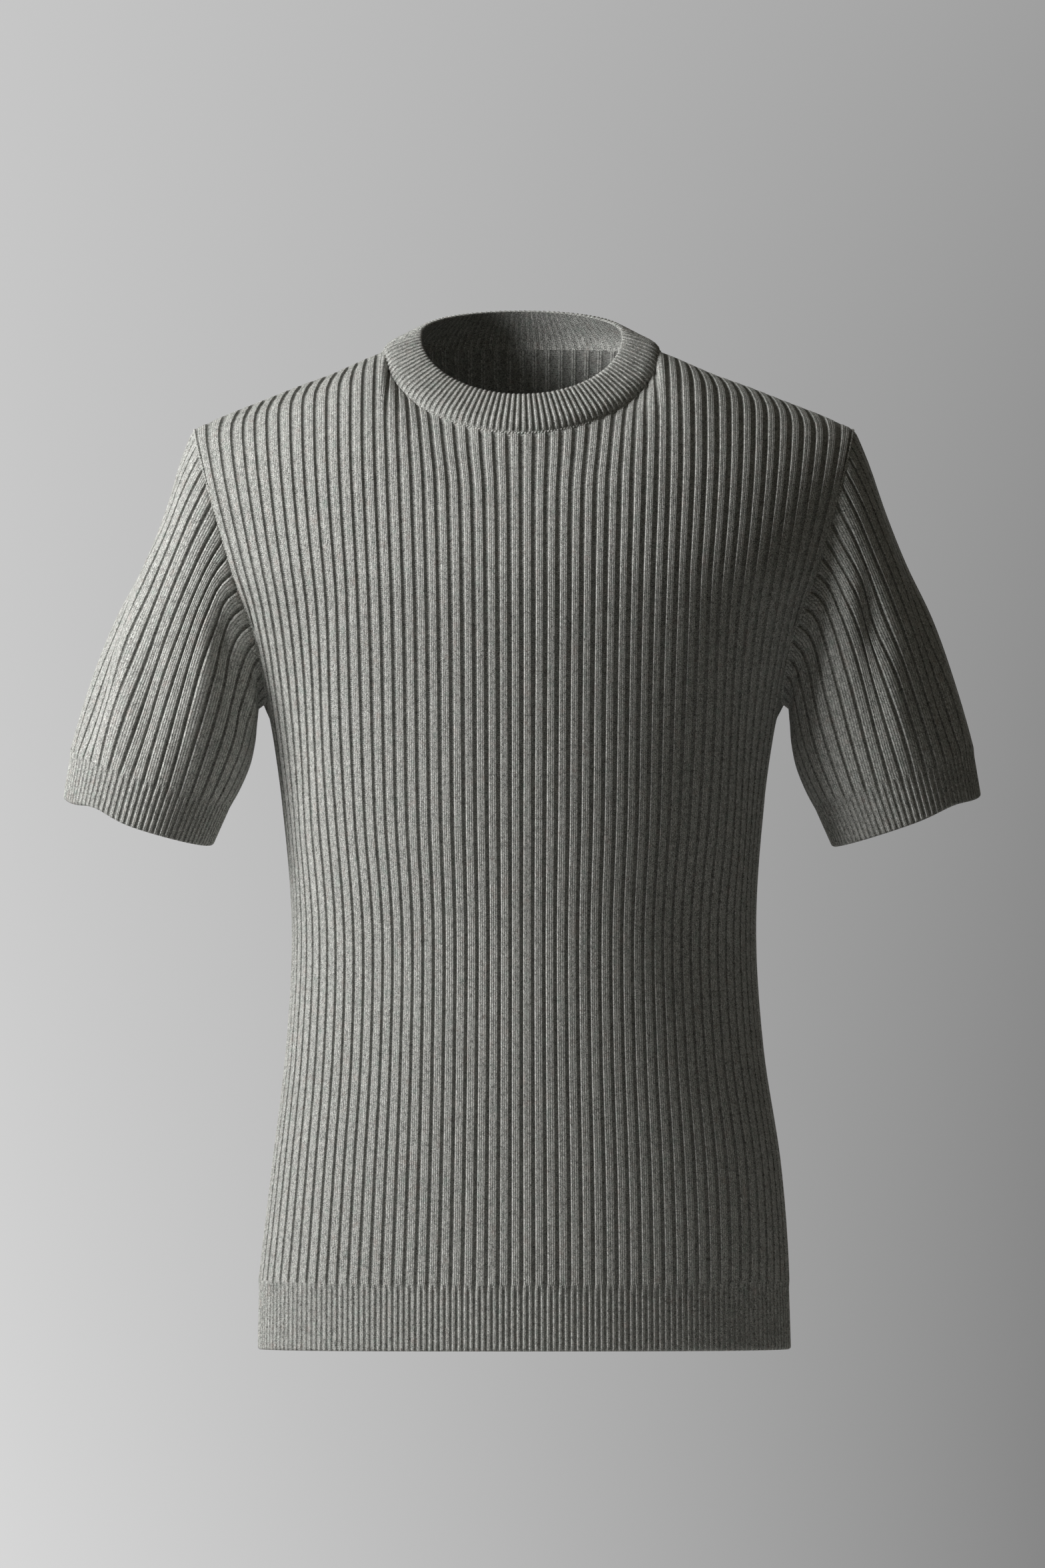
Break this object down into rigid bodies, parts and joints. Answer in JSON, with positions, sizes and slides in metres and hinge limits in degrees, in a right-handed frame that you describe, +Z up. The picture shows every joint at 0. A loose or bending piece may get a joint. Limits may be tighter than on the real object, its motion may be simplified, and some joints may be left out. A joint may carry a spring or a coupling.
{
  "type": "knit t-shirt",
  "caption": "Short sleeved rib-knit t-shirt with a crew neck and fine rib bands at hem, cuffs and collar, held hollow in the form it has when worn.",
  "frame": {"origin": "midway between the two neck points, where the collar and the shoulder seams meet, on the plane of the side seams", "axes": "+X to the garment's left sleeve, at the picture's right; -Y out of the front; +Z up"},
  "size_m": [0.6198, 0.2383, 0.7042],
  "materials": {
    "front": "matt rib knit",
    "back": "matt rib knit",
    "hem_front": "matt fine rib knit",
    "hem_back": "matt fine rib knit",
    "sleeve_left": "matt rib knit",
    "sleeve_right": "matt rib knit",
    "cuff_left": "matt fine rib knit",
    "cuff_right": "matt fine rib knit",
    "collar": "matt fine rib knit"
  },
  "bodies": {
    "root": {"front": "front", "back": "back", "hem_front": "hem_front", "hem_back": "hem_back", "sleeve_left": "sleeve_left", "sleeve_right": "sleeve_right", "cuff_left": "cuff_left", "cuff_right": "cuff_right", "collar": "collar"}
  },
  "joints": []
}
